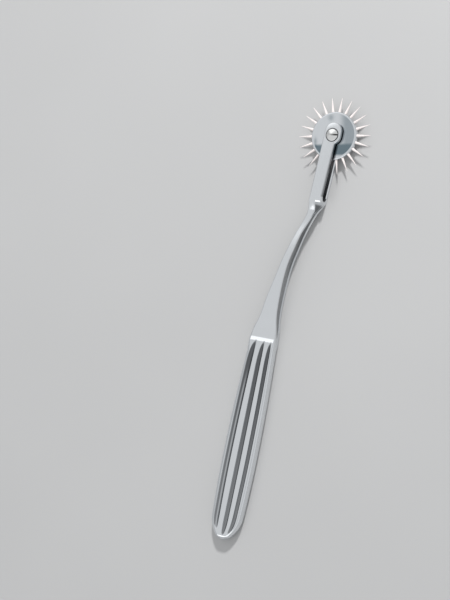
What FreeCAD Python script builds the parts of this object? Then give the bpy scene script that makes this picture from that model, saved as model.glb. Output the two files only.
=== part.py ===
"""Neurological pinwheel: a disc of 22 radial pins that spins in the fork of a flat fluted handle.

All lengths are in millimetres. The pieces are made round the wheel's axle, with the handle running
away along -X and the table at z = 0, and are moved at the end so that the origin is the middle of the
bottom of the whole object's box. The instrument lies flat, on the rear tine and the back of the grip.
"""
import FreeCAD, Part
import math
import os

# Handle: lengths along X, from the axle back to the butt
FORK_REACH = 28.0         # axle to the end of the fork's slot
FORK_HEEL = 0.6           # solid block behind the slot, before the neck begins
NECK_LENGTH = 59.9        # fork block to the ridge of the grip
GRIP_LENGTH = 85.2        # ridge to the butt's end

# Handle: grip
GRIP_OFFSET = 13.6        # grip's centre line, aside from the axle
GRIP_WIDTH = 15.3         # at the belly
RIDGE_WIDTH_SHARE = 0.785 # width at the ridge, where the neck leaves
BUTT_WIDTH_SHARE = 0.83   # width where the belly's curve would reach the butt's end
SHOULDER_RADIUS = 14.0    # in plan, between the side and the nose of the butt
NOSE_RADIUS = 4.8         # in plan, at the butt's end
GRIP_DEPTH = 4.5
GRIP_CORNER = 1.8         # rounding along the grip's sides and round the butt
BELLY_PLACE_SHARE = 0.6   # place of the belly along the grip

# Handle: flutes of the grip
FLUTE_RADIUS = 1.25
FLUTE_DEPTH = 0.8
FLUTE_LANE_SHARE = 0.32   # outer flutes run at this share of the grip's width
FLUTE_START = 1.2         # from the ridge
FLUTE_END = 2.6           # from the butt's end, middle flute
FLUTE_OUTER_SETBACK = 2.0 # outer flutes end this much earlier
FLUTE_RISE = 26.0         # length of the pointed run-out at the ridge
FLUTE_FALL = 12.0         # length of the run-out at the butt
FLUTE_STEP_SHARES = (0.0, 0.2, 0.5, 1.0)  # places along a run-out where its slope changes

# Handle: neck, a flat bar that narrows and deepens towards the fork.
# Each station is a share of the neck's length from the ridge, and shares of the sizes below.
NECK_WAIST_WIDTH = 2.55
NECK_BELLY_DEPTH = 6.2
NECK_BEVEL = 0.45
HEEL_CUT_WIDTH = 2.9      # front right corner, cut away where the neck meets the fork's block
HEEL_CUT_DEPTH = 3.8
RIDGE_BEVEL_SHARE = 0.7   # bevel at the ridge, as a share of the grip's rounding
NECK_LENGTH_SHARES = (0.022, 0.07, 0.14, 0.27, 0.42, 0.55, 0.66, 0.78, 0.88, 0.93, 0.97)
NECK_OFFSET_SHARES = (0.995, 0.975, 0.93, 0.875, 0.77, 0.67, 0.535, 0.36, 0.165, 0.08, 0.025)
NECK_WIDTH_SHARES = (4.58, 4.16, 3.25, 2.43, 1.65, 1.29, 1.14, 1.0, 1.1, 1.3, 1.73)
NECK_FRONT_SHARES = (0.677, 0.69, 0.79, 0.9, 0.995, 1.0, 0.975, 0.9, 0.855, 0.885, 0.96)
NECK_BACK_SHARES = (0.003, 0.009, 0.013, 0.013, 0.0105, 0.009, 0.0175, 0.07, 0.19, 0.175, 0.07)
NECK_BEVEL_SHARES = (2.8, 2.2, 1.5, 1.1, 1.0, 1.0, 1.0, 1.0, 1.0, 1.0, 1.0)
NECK_CUT_SHARES = (0.0, 0.0, 0.0, 0.0, 0.0, 0.0, 0.0, 0.0, 0.0, 0.3, 0.62)

# Handle: fork
TINE_WIDTH = 5.4
TINE_THICKNESS = 1.4
SLOT_GAP = 3.5
TINE_OFFSET = 0.45        # tine's centre line, aside from the axle
TINE_LEAN = 1.2           # further offset of the tine's centre line at the slot's end
FORK_BEVEL = 0.45         # bevel along the tines and round the eyes
EYE_RADIUS = 3.7
EYE_OFFSET = -0.55        # eye's centre line, aside from the axle
EYE_NOSE = 1.7            # eye's outer arc, its centre beyond the axle
EYE_TAIL = 0.3            # eye's inner arc, its centre behind the axle

# Pivot screw
JOURNAL_RADIUS = 1.25
THREAD_RADIUS = 1.0
HEAD_RADIUS = 2.7
HEAD_RIM = 0.7            # height of the head's straight side
HEAD_DOME = 0.3
HEAD_SINK = 0.5           # depth of the counterbore in the front tine
HEAD_CLEARANCE = 0.3      # head to the wall of its counterbore
DRIVER_SLOT_WIDTH = 0.7
DRIVER_SLOT_DEPTH = 0.5
DRIVER_SLOT_TURN = 6.0    # degrees from square to the handle
SCREW_END_SINK = 0.1      # screw's end lies this far inside the rear tine's back

# Wheel
PIN_COUNT = 22
PIN_SIDES = 12            # a pin and its hole are turned round, drawn here with this many flats
TIP_RADIUS = 16.3         # axle to the points
DISC_RADIUS = 10.2
DISC_THICKNESS = 2.0
DISC_EDGE = 0.4           # bevel of the disc's rim
HUB_RADIUS = 3.0
RUNNING_CLEARANCE = 0.05  # bore round the journal
SIDE_CLEARANCE = 0.1      # hub face to tine
PIN_RADIUS = 0.6
PIN_SEAT = 3.0            # depth of a pin's blind hole
PIN_POINT_RADIUS = 0.06

# Working values that follow from the sizes above
CUT_OVERRUN = 2.0
FULL_TURN = 360.0
RIGHT_ANGLE = 90.0
MITRED = 1                # way in which a pipe turns its corners

fork_depth = 2 * TINE_THICKNESS + SLOT_GAP
wheel_height = fork_depth / 2
block_x = -(FORK_REACH + FORK_HEEL)
ridge_x = block_x - NECK_LENGTH
butt_x = ridge_x - GRIP_LENGTH
belly_x = ridge_x - BELLY_PLACE_SHARE * GRIP_LENGTH
ridge_width = RIDGE_WIDTH_SHARE * GRIP_WIDTH
butt_width = BUTT_WIDTH_SHARE * GRIP_WIDTH


def at(x, y, z):
    return FreeCAD.Vector(x, y, z)


def blend(start, end, share):
    return start + (end - start) * share


def tine_line(x):
    """Offset of the tines' centre line, which leans a little from the axle to the slot's end."""
    return TINE_OFFSET - TINE_LEAN * x / FORK_REACH


def section(x, y, back, front, width, bevel, cut=0):
    """Rectangle with bevelled corners across the handle at x, as one closed wire. The front right corner
    is cut back further by a share of the heel's cut."""
    left, right = y + width / 2, y - width / 2
    aside = max(bevel, cut * HEEL_CUT_WIDTH)
    down = max(bevel, cut * HEEL_CUT_DEPTH)
    corners = [
        (right + bevel, back), (left - bevel, back), (left, back + bevel), (left, front - bevel),
        (left - bevel, front), (right + aside, front), (right, front - down), (right, back + bevel),
    ]
    return Part.makePolygon([at(x, aside, height) for aside, height in corners + corners[:1]])


def belly_arc(length, drop):
    """Radius of an arc that starts level at the belly and falls by the drop over the length."""
    return (length ** 2 + drop ** 2) / (2 * drop)


ridge_side_radius = belly_arc(ridge_x - belly_x, (GRIP_WIDTH - ridge_width) / 2)
butt_side_radius = belly_arc(belly_x - butt_x, (GRIP_WIDTH - butt_width) / 2)


def belly_width(x):
    """Width of the grip at x, without its rounded end: two arcs on each side, which meet at the belly."""
    radius = ridge_side_radius if x > belly_x else butt_side_radius
    return GRIP_WIDTH - 2 * (radius - math.sqrt(radius ** 2 - (x - belly_x) ** 2))


def arc_round(centre, start, end):
    """Shorter arc round a centre, between two points at the same distance from it."""
    outward = (start + end) / 2 - centre
    middle = centre + outward * ((start - centre).Length / outward.Length)
    return Part.Arc(start, middle, end).toShape()


def across(point):
    """The same place on the other side of the grip's centre line."""
    return at(point.x, -point.y, point.z)


def shoulder_centre(side_centre, nose_centre):
    """Centre of the shoulder's arc, which touches the side's long arc and the nose's arc from inside."""
    from_side = butt_side_radius - SHOULDER_RADIUS
    from_nose = SHOULDER_RADIUS - NOSE_RADIUS
    line = nose_centre - side_centre
    along = (from_side ** 2 - from_nose ** 2 + line.Length ** 2) / (2 * line.Length)
    square = math.sqrt(from_side ** 2 - along ** 2)
    unit = line / line.Length
    return side_centre + unit * along + at(unit.y, -unit.x, 0) * square


def make_grip():
    """Flat bar with a belly and a round butt in plan, its sides rounded to the front and the back."""
    half = GRIP_WIDTH / 2
    ridge = at(ridge_x, ridge_width / 2, 0)
    belly = at(belly_x, half, 0)
    side_centre = at(belly_x, half - butt_side_radius, 0)
    nose_centre = at(butt_x + NOSE_RADIUS, 0, 0)
    shoulder = shoulder_centre(side_centre, nose_centre)
    side_end = side_centre + (shoulder - side_centre) * (butt_side_radius / (shoulder - side_centre).Length)
    nose_start = shoulder + (nose_centre - shoulder) * (SHOULDER_RADIUS / (nose_centre - shoulder).Length)
    arcs = [(at(belly_x, half - ridge_side_radius, 0), ridge, belly), (side_centre, belly, side_end),
            (shoulder, side_end, nose_start)]
    outline = [arc_round(centre, start, end) for centre, start, end in arcs]
    outline.append(Part.Arc(nose_start, at(butt_x, 0, 0), across(nose_start)).toShape())
    outline += [arc_round(across(centre), across(end), across(start))
                for centre, start, end in reversed(arcs)]
    outline.append(Part.LineSegment(across(ridge), ridge).toShape())
    grip = Part.Face(Part.Wire(outline)).extrude(at(0, 0, GRIP_DEPTH))
    rims = [edge for edge in grip.Edges
            if edge.BoundBox.ZLength < GRIP_CORNER and edge.BoundBox.XLength > GRIP_CORNER / 2]
    grip = grip.makeFillet(GRIP_CORNER, rims)
    grip.translate(at(0, GRIP_OFFSET, 0))
    return grip


def make_neck():
    """Loft from the ridge of the grip through the stations of the neck to the fork's block. Its front
    right corner is cut away at the heel, so that the block stands out there with a square step."""
    ridge_bevel = RIDGE_BEVEL_SHARE * GRIP_CORNER
    wires = [section(ridge_x, GRIP_OFFSET, 0, GRIP_DEPTH, ridge_width, ridge_bevel)]
    stations = zip(NECK_LENGTH_SHARES, NECK_OFFSET_SHARES, NECK_WIDTH_SHARES, NECK_FRONT_SHARES,
                   NECK_BACK_SHARES, NECK_BEVEL_SHARES, NECK_CUT_SHARES)
    for length, offset, width, front, back, bevel, cut in stations:
        wires.append(section(
            blend(ridge_x, block_x, length),
            blend(tine_line(block_x), GRIP_OFFSET, offset),
            back * NECK_BELLY_DEPTH,
            front * NECK_BELLY_DEPTH,
            width * NECK_WAIST_WIDTH,
            bevel * NECK_BEVEL,
            cut,
        ))
    wires.append(section(block_x, tine_line(block_x), 0, fork_depth, TINE_WIDTH, FORK_BEVEL, 1))
    return Part.makeLoft(wires, True, False)


def make_tines():
    """Bar with an oval eye at its end, bevelled all round; one side of the eye is flush with the bar."""
    half = TINE_WIDTH / 2
    right = EYE_OFFSET - EYE_RADIUS
    left = EYE_OFFSET + EYE_RADIUS
    corners = [(block_x, tine_line(block_x) + half), (EYE_NOSE, left),
               (EYE_NOSE, tine_line(EYE_NOSE) - half), (block_x, tine_line(block_x) - half)]
    plan = Part.makePolygon([at(x, y, 0) for x, y in corners + corners[:1]])
    bar = Part.Face(plan).extrude(at(0, 0, fork_depth))
    nose = Part.makeCylinder(EYE_RADIUS, fork_depth, at(EYE_NOSE, EYE_OFFSET, 0))
    tail = Part.makeCylinder(EYE_RADIUS, fork_depth, at(-EYE_TAIL, EYE_OFFSET, 0))
    middle = Part.makeBox(EYE_NOSE + EYE_TAIL, 2 * EYE_RADIUS, fork_depth, at(-EYE_TAIL, right, 0))
    tines = bar.fuse([nose, tail, middle]).removeSplitter()
    rims = [edge for edge in tines.Edges
            if edge.BoundBox.ZLength < FORK_BEVEL and edge.BoundBox.XMax > block_x + FORK_BEVEL]
    return tines.makeChamfer(FORK_BEVEL, rims)


def make_fork():
    """Two tines with eyes, parted by a slot that has a round end."""
    slot_radius = SLOT_GAP / 2
    breadth = 2 * (TINE_WIDTH + EYE_RADIUS)
    slot_x = -FORK_REACH + slot_radius
    slot_end = Part.makeCylinder(slot_radius, breadth, at(slot_x, -breadth / 2, wheel_height), at(0, 1, 0))
    slot_length = EYE_NOSE + EYE_RADIUS + CUT_OVERRUN - slot_x
    slot = Part.makeBox(slot_length, breadth, SLOT_GAP, at(slot_x, -breadth / 2, TINE_THICKNESS))
    journal_hole = Part.makeCylinder(JOURNAL_RADIUS + RUNNING_CLEARANCE, fork_depth / 2 + CUT_OVERRUN,
                                     at(0, 0, wheel_height))
    seat = Part.makeCylinder(HEAD_RADIUS + HEAD_CLEARANCE, HEAD_SINK + CUT_OVERRUN,
                             at(0, 0, fork_depth - HEAD_SINK))
    tapped_hole = Part.makeCylinder(THREAD_RADIUS, wheel_height + CUT_OVERRUN, at(0, 0, -CUT_OVERRUN))
    return make_tines().cut([slot_end, slot, journal_hole, seat, tapped_hole])


def flute_depth(from_start, to_end):
    """Depth of a flute: a long pointed rise at the ridge and a shorter fall at the butt."""
    rise = math.sin(math.radians(RIGHT_ANGLE * min(1, from_start / FLUTE_RISE)))
    fall = math.sin(math.radians(RIGHT_ANGLE * min(1, to_end / FLUTE_FALL)))
    return FLUTE_DEPTH * rise * fall


def flute_cutter(lane, front):
    """Round bar that follows a straight lane of the grip and dips into its face. Lanes are -1, 0 and 1."""
    start_x = ridge_x - FLUTE_START
    end_x = butt_x + FLUTE_END + abs(lane) * FLUTE_OUTER_SETBACK
    places = [start_x - share * FLUTE_RISE for share in FLUTE_STEP_SHARES]
    places += [end_x + share * FLUTE_FALL for share in reversed(FLUTE_STEP_SHARES)]
    start_y = GRIP_OFFSET + lane * FLUTE_LANE_SHARE * belly_width(start_x)
    end_y = GRIP_OFFSET + lane * FLUTE_LANE_SHARE * belly_width(end_x)
    path = []
    for x in places:
        depth = flute_depth(start_x - x, x - end_x)
        z = GRIP_DEPTH + FLUTE_RADIUS - depth if front else depth - FLUTE_RADIUS
        path.append(at(x, blend(start_y, end_y, (start_x - x) / (start_x - end_x)), z))
    bar = Part.Circle(path[0], path[1] - path[0], FLUTE_RADIUS).toShape()
    return Part.makePolygon(path).makePipeShell([Part.Wire(bar)], True, False, MITRED)


def make_handle():
    """Grip, neck and fork in one piece, with three flutes on each face of the grip."""
    handle = make_grip().fuse([make_neck(), make_fork()])
    cutters = [flute_cutter(lane, front) for front in (True, False) for lane in (-1, 0, 1)]
    return handle.cut(cutters).removeSplitter()


def make_screw():
    """Slotted head in its counterbore, plain journal through the wheel, threaded end in the rear tine."""
    seat_z = fork_depth - HEAD_SINK
    rim_z = seat_z + HEAD_RIM
    sphere_radius = (HEAD_RADIUS ** 2 + HEAD_DOME ** 2) / (2 * HEAD_DOME)
    head = Part.makeCylinder(HEAD_RADIUS, HEAD_RIM + HEAD_DOME, at(0, 0, seat_z))
    dome = Part.makeSphere(sphere_radius, at(0, 0, rim_z + HEAD_DOME - sphere_radius))
    head = head.common(dome)
    slot_length = 2 * HEAD_RADIUS + CUT_OVERRUN
    slot_corner = at(-DRIVER_SLOT_WIDTH / 2, -slot_length / 2, rim_z + HEAD_DOME - DRIVER_SLOT_DEPTH)
    driver_slot = Part.makeBox(DRIVER_SLOT_WIDTH, slot_length, DRIVER_SLOT_DEPTH + CUT_OVERRUN, slot_corner)
    driver_slot.rotate(at(0, 0, 0), at(0, 0, 1), DRIVER_SLOT_TURN)
    journal = Part.makeCylinder(JOURNAL_RADIUS, seat_z - TINE_THICKNESS, at(0, 0, TINE_THICKNESS))
    thread = Part.makeCylinder(THREAD_RADIUS, TINE_THICKNESS - SCREW_END_SINK, at(0, 0, SCREW_END_SINK))
    return head.cut(driver_slot).fuse([journal, thread]).removeSplitter()


def pin_angle(index):
    return FULL_TURN * index / PIN_COUNT


def pin_solid(rings):
    """Solid round +X through rings of flats, each given as its distance from the axle and its radius."""
    corners = []
    for distance, radius in rings:
        turns = [math.radians(FULL_TURN * side / PIN_SIDES) for side in range(PIN_SIDES)]
        corners.append([at(distance, radius * math.cos(turn), radius * math.sin(turn)) for turn in turns])
    faces = [Part.Face(Part.makePolygon(ring + ring[:1])) for ring in (corners[0], corners[-1])]
    for near, far in zip(corners, corners[1:]):
        for side in range(PIN_SIDES):
            back = side - 1
            flat = [near[back], near[side], far[side], far[back], near[back]]
            faces.append(Part.Face(Part.makePolygon(flat)))
    return Part.makeSolid(Part.makeShell(faces))


def set_in_wheel(shape, index):
    """Turn a shape that lies along +X to a pin's place, and lift it to the wheel's height."""
    shape.rotate(at(0, 0, 0), at(0, 0, 1), pin_angle(index))
    shape.translate(at(0, 0, wheel_height))
    return shape


def make_disc():
    """Turned disc with a hub boss on each side, its rim bevelled, and the pins' blind holes."""
    half = DISC_THICKNESS / 2
    hub_half = SLOT_GAP / 2 - SIDE_CLEARANCE
    disc = Part.makeCylinder(DISC_RADIUS, DISC_THICKNESS, at(0, 0, wheel_height - half))
    rim = [edge for edge in disc.Edges if edge.BoundBox.ZLength < DISC_EDGE]
    disc = disc.makeChamfer(DISC_EDGE, rim)
    hub = Part.makeCylinder(HUB_RADIUS, 2 * hub_half, at(0, 0, wheel_height - hub_half))
    bore = Part.makeCylinder(JOURNAL_RADIUS + RUNNING_CLEARANCE, fork_depth, at(0, 0, 0))
    disc = disc.fuse(hub).cut(bore)
    rings = [(DISC_RADIUS - PIN_SEAT, PIN_RADIUS), (DISC_RADIUS + CUT_OVERRUN, PIN_RADIUS)]
    holes = [set_in_wheel(pin_solid(rings), index) for index in range(PIN_COUNT)]
    return disc.cut(holes).removeSplitter()


def make_pin(index):
    """Pressed pin: a plain shank in the disc and a long conical point outside it."""
    rings = [(DISC_RADIUS - PIN_SEAT, PIN_RADIUS), (DISC_RADIUS, PIN_RADIUS), (TIP_RADIUS, PIN_POINT_RADIUS)]
    return set_in_wheel(pin_solid(rings), index)


def widest_pin_reach():
    """How far the pins reach along -Y, which is a little less than the tip radius."""
    return max(-TIP_RADIUS * math.sin(math.radians(pin_angle(index))) for index in range(PIN_COUNT))


pieces = {"handle": make_handle(), "wheel_disc": make_disc(), "pivot_screw": make_screw()}
for number in range(PIN_COUNT):
    pieces["pin_%02d" % (number + 1)] = make_pin(number)

# Origin at the middle of the bottom of the whole object's box
middle_x = (TIP_RADIUS + butt_x) / 2
middle_y = (GRIP_OFFSET + GRIP_WIDTH / 2 - widest_pin_reach()) / 2
os.makedirs("parts", exist_ok=True)
for name, shape in pieces.items():
    shape.translate(at(-middle_x, -middle_y, 0))
    shape.exportStep(os.path.join("parts", name + ".step"))
    box = shape.BoundBox
    print("%-12s volume %9.2f  box %8.2f %8.2f %6.2f to %8.2f %8.2f %6.2f  %s %d" % (
        name, shape.Volume, box.XMin, box.YMin, box.ZMin, box.XMax, box.YMax, box.ZMax,
        "valid" if shape.isValid() else "NOT VALID", len(shape.Solids)))
print("axle at", round(-middle_x, 3), round(-middle_y, 3), "wheel height", wheel_height)
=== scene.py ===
"""Neurological pinwheel: a disc of 22 radial pins that spins in the fork of a flat fluted handle.

Lengths are written in millimetres and multiplied by MM. Places are counted from the wheel's axle:
X runs along the handle towards the wheel, Y across it, and Z up from the table that it lies on.
"""

import bmesh
import bpy
import numpy as np
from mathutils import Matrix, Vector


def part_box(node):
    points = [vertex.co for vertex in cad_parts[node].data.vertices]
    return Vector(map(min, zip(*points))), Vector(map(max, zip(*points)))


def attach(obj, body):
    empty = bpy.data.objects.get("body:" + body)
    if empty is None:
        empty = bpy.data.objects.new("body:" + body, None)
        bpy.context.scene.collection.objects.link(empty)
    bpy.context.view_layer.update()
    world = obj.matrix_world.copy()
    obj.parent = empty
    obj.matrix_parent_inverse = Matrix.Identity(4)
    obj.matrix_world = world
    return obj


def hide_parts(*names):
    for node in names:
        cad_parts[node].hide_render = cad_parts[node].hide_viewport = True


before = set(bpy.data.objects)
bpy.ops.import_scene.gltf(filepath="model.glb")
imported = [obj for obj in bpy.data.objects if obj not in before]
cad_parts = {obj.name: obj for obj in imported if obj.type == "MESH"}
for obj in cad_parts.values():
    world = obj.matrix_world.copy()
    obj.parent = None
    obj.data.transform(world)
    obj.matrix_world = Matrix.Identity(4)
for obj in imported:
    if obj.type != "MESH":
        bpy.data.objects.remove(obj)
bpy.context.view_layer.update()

# Photographer's table: a large sheet of pale card, and a camera a metre above it, rolled over to the
# handle's right side. The view's sizes are those of the photograph, as 450 by 600 pixels, and the frame
# gives the place of the axle and the height of the fork.
MM = 0.001
PICTURE_WIDTH = 450
PICTURE_HEIGHT = 600
AXLE_PIXEL_RIGHT = 334.7
AXLE_PIXEL_DOWN = 136.2
PIXEL_SIZE = 0.4168 * MM
ROLL = np.radians(28.0)
TILT = np.radians(17.0)
SLEW = np.radians(-6.0)
CAMERA_DISTANCE = 1.0
SENSOR = 36.0
FLOOR_SIZE = 3.0

wheel_low, wheel_high = (np.array(corner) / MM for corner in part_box("wheel_disc"))
handle_low, handle_high = (np.array(corner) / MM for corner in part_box("handle"))
axle = (wheel_low + wheel_high) / 2
axle[2] = 0.0
fork_depth = handle_high[2]
wheel_height = fork_depth / 2

along_handle = np.array([np.cos(SLEW), np.sin(SLEW), 0.0])
across_handle = np.array([np.sin(SLEW), -np.cos(SLEW), 0.0])
up = np.array([0.0, 0.0, 1.0])
towards_camera = np.sin(ROLL) * across_handle + np.cos(ROLL) * up
across_view = np.cos(ROLL) * across_handle - np.sin(ROLL) * up
picture_right = np.sin(TILT) * along_handle + np.cos(TILT) * across_view
picture_up = np.cos(TILT) * along_handle - np.sin(TILT) * across_view
aim = (axle + wheel_height * up) * MM
aim = aim - picture_right * (AXLE_PIXEL_RIGHT - PICTURE_WIDTH / 2) * PIXEL_SIZE
aim = aim + picture_up * (AXLE_PIXEL_DOWN - PICTURE_HEIGHT / 2) * PIXEL_SIZE


def stand(name, data, right, upward, back, spot):
    """Camera or lamp put in the scene at a spot, with its own axes turned right, upward and back."""
    place = np.eye(4)
    place[:3] = np.stack([right, upward, back, spot], axis=1)
    thing = bpy.data.objects.new(name, data)
    thing.matrix_world = place.T.tolist()
    bpy.context.scene.collection.objects.link(thing)
    return thing


camera_data = bpy.data.cameras.new("camera")
camera_data.sensor_width = SENSOR
camera_data.lens = SENSOR * CAMERA_DISTANCE / (PICTURE_HEIGHT * PIXEL_SIZE)
camera_spot = aim + towards_camera * CAMERA_DISTANCE
camera = stand("camera", camera_data, picture_right, picture_up, towards_camera, camera_spot)
bpy.context.scene.camera = camera
bpy.context.scene.view_settings.view_transform = "Standard"


def new_material(name):
    """Empty node material with a principled shader: its nodes, a linking function and the shader."""
    material = bpy.data.materials.new(name)
    material.use_nodes = True
    nodes = material.node_tree.nodes
    return material, nodes, material.node_tree.links.new, nodes["Principled BSDF"]


def pale_card():
    """Matt pale card with a very faint mottle."""
    material, nodes, link, shader = new_material("pale_card")
    place_in = nodes.new("ShaderNodeTexCoord")
    mottle = nodes.new("ShaderNodeTexNoise")
    mottle.inputs["Scale"].default_value = 9.0
    tint = nodes.new("ShaderNodeMapRange")
    tint.inputs["To Min"].default_value = 0.45
    tint.inputs["To Max"].default_value = 0.49
    link(place_in.outputs["Object"], mottle.inputs["Vector"])
    link(mottle.outputs["Fac"], tint.inputs["Value"])
    link(tint.outputs["Result"], shader.inputs["Base Color"])
    shader.inputs["Roughness"].default_value = 0.9
    return material


half_floor = FLOOR_SIZE / 2
floor_corners = [(-half_floor, -half_floor, 0), (half_floor, -half_floor, 0),
                 (half_floor, half_floor, 0), (-half_floor, half_floor, 0)]
floor_mesh = bpy.data.meshes.new("floor")
floor_mesh.from_pydata(floor_corners, [], [(0, 1, 2, 3)])
floor = bpy.data.objects.new("floor", floor_mesh)
floor.data.materials.append(pale_card())
bpy.context.scene.collection.objects.link(floor)

# Lamps, all aimed at the middle of the instrument. The strip lamp hangs where the flat faces mirror it
# towards the camera. The key lamp stands beyond the wheel, throws the shadow and shows in no face. The
# ridge and heel lamps light the ridge's lip and the heel's edges, and the side lamp the right side.
STRIP_SHIFT = 0.28
KEY_LEAN = 1.4
RIDGE_LAMP_WAY = (0.4575, 0.4633, 0.759)
HEEL_LAMP_WAY = (-0.68, 0.1, 0.72)
SIDE_LAMP_RISE = 0.75
SKY_COLOUR = (0.96, 0.98, 1.0, 1.0)
SKY_STRENGTH = 0.5


def soft_box(name, way, distance, size, power):
    """Rectangular area lamp that faces the frame's origin from a distance, in metres, in a way from it."""
    lamp_data = bpy.data.lights.new(name, "AREA")
    lamp_data.shape = "RECTANGLE"
    lamp_data.size, lamp_data.size_y = size
    lamp_data.energy = power
    back = np.array(way) / np.linalg.norm(way)
    side = np.cross(up, back)
    side = side / np.linalg.norm(side)
    return stand(name, lamp_data, side, np.cross(back, side), back, back * distance)


mirror_way = 2 * towards_camera[2] * up - towards_camera
strip_lamp_way = mirror_way + STRIP_SHIFT * across_handle
key_lamp_way = KEY_LEAN * along_handle + up
side_lamp_way = across_handle + SIDE_LAMP_RISE * up
soft_box("strip_lamp", strip_lamp_way, distance=1.2, size=(2.2, 1.4), power=2.0)
key_lamp = soft_box("key_lamp", key_lamp_way, distance=1.3, size=(0.12, 0.12), power=15.0)
key_lamp.visible_glossy = False
soft_box("ridge_lamp", RIDGE_LAMP_WAY, distance=1.25, size=(0.48, 0.48), power=0.42)
soft_box("heel_lamp", HEEL_LAMP_WAY, distance=1.2, size=(1.5, 0.55), power=2.4)
soft_box("side_lamp", side_lamp_way, distance=1.2, size=(2.2, 0.9), power=1.24)

sky = bpy.data.worlds.new("studio")
bpy.context.scene.world = sky
sky.use_nodes = True
sky.node_tree.nodes["Background"].inputs["Color"].default_value = SKY_COLOUR
sky.node_tree.nodes["Background"].inputs["Strength"].default_value = SKY_STRENGTH

# Handle: one bar of steel, forged and ground to a flat fluted grip and a slim S-shaped neck, slotted
# into a fork at its end, polished all over and plated. It is drawn as three closed skins that meet
# face to face: the grip with the neck and the web of the fork, and the two tines with their eyes.
NECK_LENGTH = 59.9
FORK_REACH = 28.0
FORK_HEEL = 0.6
FORK_CORNER = 0.3
TINE_WIDTH = 5.4
TINE_THICKNESS = 1.4
TINE_OFFSET = 0.45
TINE_LEAN = 1.2

butt_x = handle_low[0] - axle[0]
block_x = -(FORK_REACH + FORK_HEEL)
ridge_x = block_x - NECK_LENGTH
slot_radius = (fork_depth - 2 * TINE_THICKNESS) / 2
slot_x = slot_radius - FORK_REACH

# Grip in plan: its widths at the belly, at the ridge, and where the belly's curve would reach the
# butt's end, which a shoulder and a nose round off.
GRIP_OFFSET = 13.6
GRIP_WIDTH = 15.3
RIDGE_WIDTH = 12.01
BUTT_WIDTH = 12.7
BELLY_PLACE_SHARE = 0.6
SHOULDER_RADIUS = 14.0
NOSE_RADIUS = 4.8

belly_x = ridge_x - BELLY_PLACE_SHARE * (ridge_x - butt_x)


def arc_radius(length, drop):
    """Radius of an arc that starts level and falls by the drop over the length."""
    return (length ** 2 + drop ** 2) / (2 * drop)


def grip_half_width(x):
    """Half width of the grip in plan: two flat arcs that meet at the belly, a shoulder arc and the nose's
    arc. Each arc touches the next from inside, so a centre lies at the difference of two radii."""
    ridge_side = arc_radius(ridge_x - belly_x, (GRIP_WIDTH - RIDGE_WIDTH) / 2)
    butt_side = arc_radius(belly_x - butt_x, (GRIP_WIDTH - BUTT_WIDTH) / 2)
    side = np.where(x > belly_x, ridge_side, butt_side)
    flank = GRIP_WIDTH / 2 - side + np.sqrt(side ** 2 - (x - belly_x) ** 2)
    side_centre = np.array([belly_x, GRIP_WIDTH / 2 - butt_side])
    nose_centre = np.array([butt_x + NOSE_RADIUS, 0.0])
    line = nose_centre - side_centre
    length = np.linalg.norm(line)
    from_side, from_nose = butt_side - SHOULDER_RADIUS, SHOULDER_RADIUS - NOSE_RADIUS
    ahead = (from_side ** 2 - from_nose ** 2 + length ** 2) / (2 * length)
    square = np.array([line[1], -line[0]]) * np.sqrt(from_side ** 2 - ahead ** 2) / length
    shoulder = side_centre + line * ahead / length + square
    flank_end = side_centre + (shoulder - side_centre) * butt_side / from_side
    nose_start = shoulder + (nose_centre - shoulder) * SHOULDER_RADIUS / from_nose
    round_shoulder = shoulder[1] + np.sqrt(np.maximum(SHOULDER_RADIUS ** 2 - (x - shoulder[0]) ** 2, 0))
    nose = np.sqrt(np.maximum(NOSE_RADIUS ** 2 - (x - nose_centre[0]) ** 2, 0))
    return np.where(x > flank_end[0], flank, np.where(x > nose_start[0], round_shoulder, nose))


# Grip's sections: flat faces with rounded edges, which get sharper on the way to the ridge. The face
# ends there in a soft lip, and drops by a small step to the neck.
GRIP_DEPTH = 4.5
GRIP_CORNER = 1.8
CORNER_LIMIT_SHARE = 0.98
RIDGE_CORNER = 0.6
RIDGE_SHARPEN = 6.0
RIDGE_STEP = 0.38
RIDGE_RUN = 2.2
RIDGE_SETBACK = 1.5
BUTT_ROWS = 40
GRIP_ROWS = 130
RIDGE_ROWS = 16


def eased(share):
    """Smooth step from 0 to 1, level at both ends."""
    share = np.clip(share, 0, 1)
    return share * share * (3 - 2 * share)


def ridge_fall(x):
    """How far the face has dropped from the grip's level at the ridge's soft lip."""
    return RIDGE_STEP * eased((x - ridge_x + RIDGE_SETBACK) / RIDGE_RUN)


def grip_rows():
    """Sections of the grip from the butt to the ridge: place, centre line, half width, back, front,
    corner radius, share of the heel's cut, and how far that cut may reach down, each as an array."""
    turn = np.linspace(0, np.pi / 2, BUTT_ROWS)
    butt = butt_x + (NOSE_RADIUS + GRIP_CORNER) * (1 - np.cos(turn))
    shaft = np.unique(np.concatenate([np.linspace(butt[-1], ridge_x, GRIP_ROWS),
                                      np.linspace(ridge_x - RIDGE_SETBACK, ridge_x, RIDGE_ROWS)]))
    x = np.concatenate([butt, shaft[1:]])
    level = np.ones_like(x)
    edge = np.maximum(GRIP_CORNER - (x - butt_x), 0)
    trim = GRIP_CORNER - np.sqrt(GRIP_CORNER ** 2 - edge ** 2)
    half = grip_half_width(x)
    corner = GRIP_CORNER + (RIDGE_CORNER - GRIP_CORNER) * eased((x - ridge_x) / RIDGE_SHARPEN + 1)
    corner = np.minimum(corner, CORNER_LIMIT_SHARE * half)
    front = GRIP_DEPTH - trim - ridge_fall(x)
    return [x, level * GRIP_OFFSET, half, trim, front, corner, level * 0.0, level * fork_depth]


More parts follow.
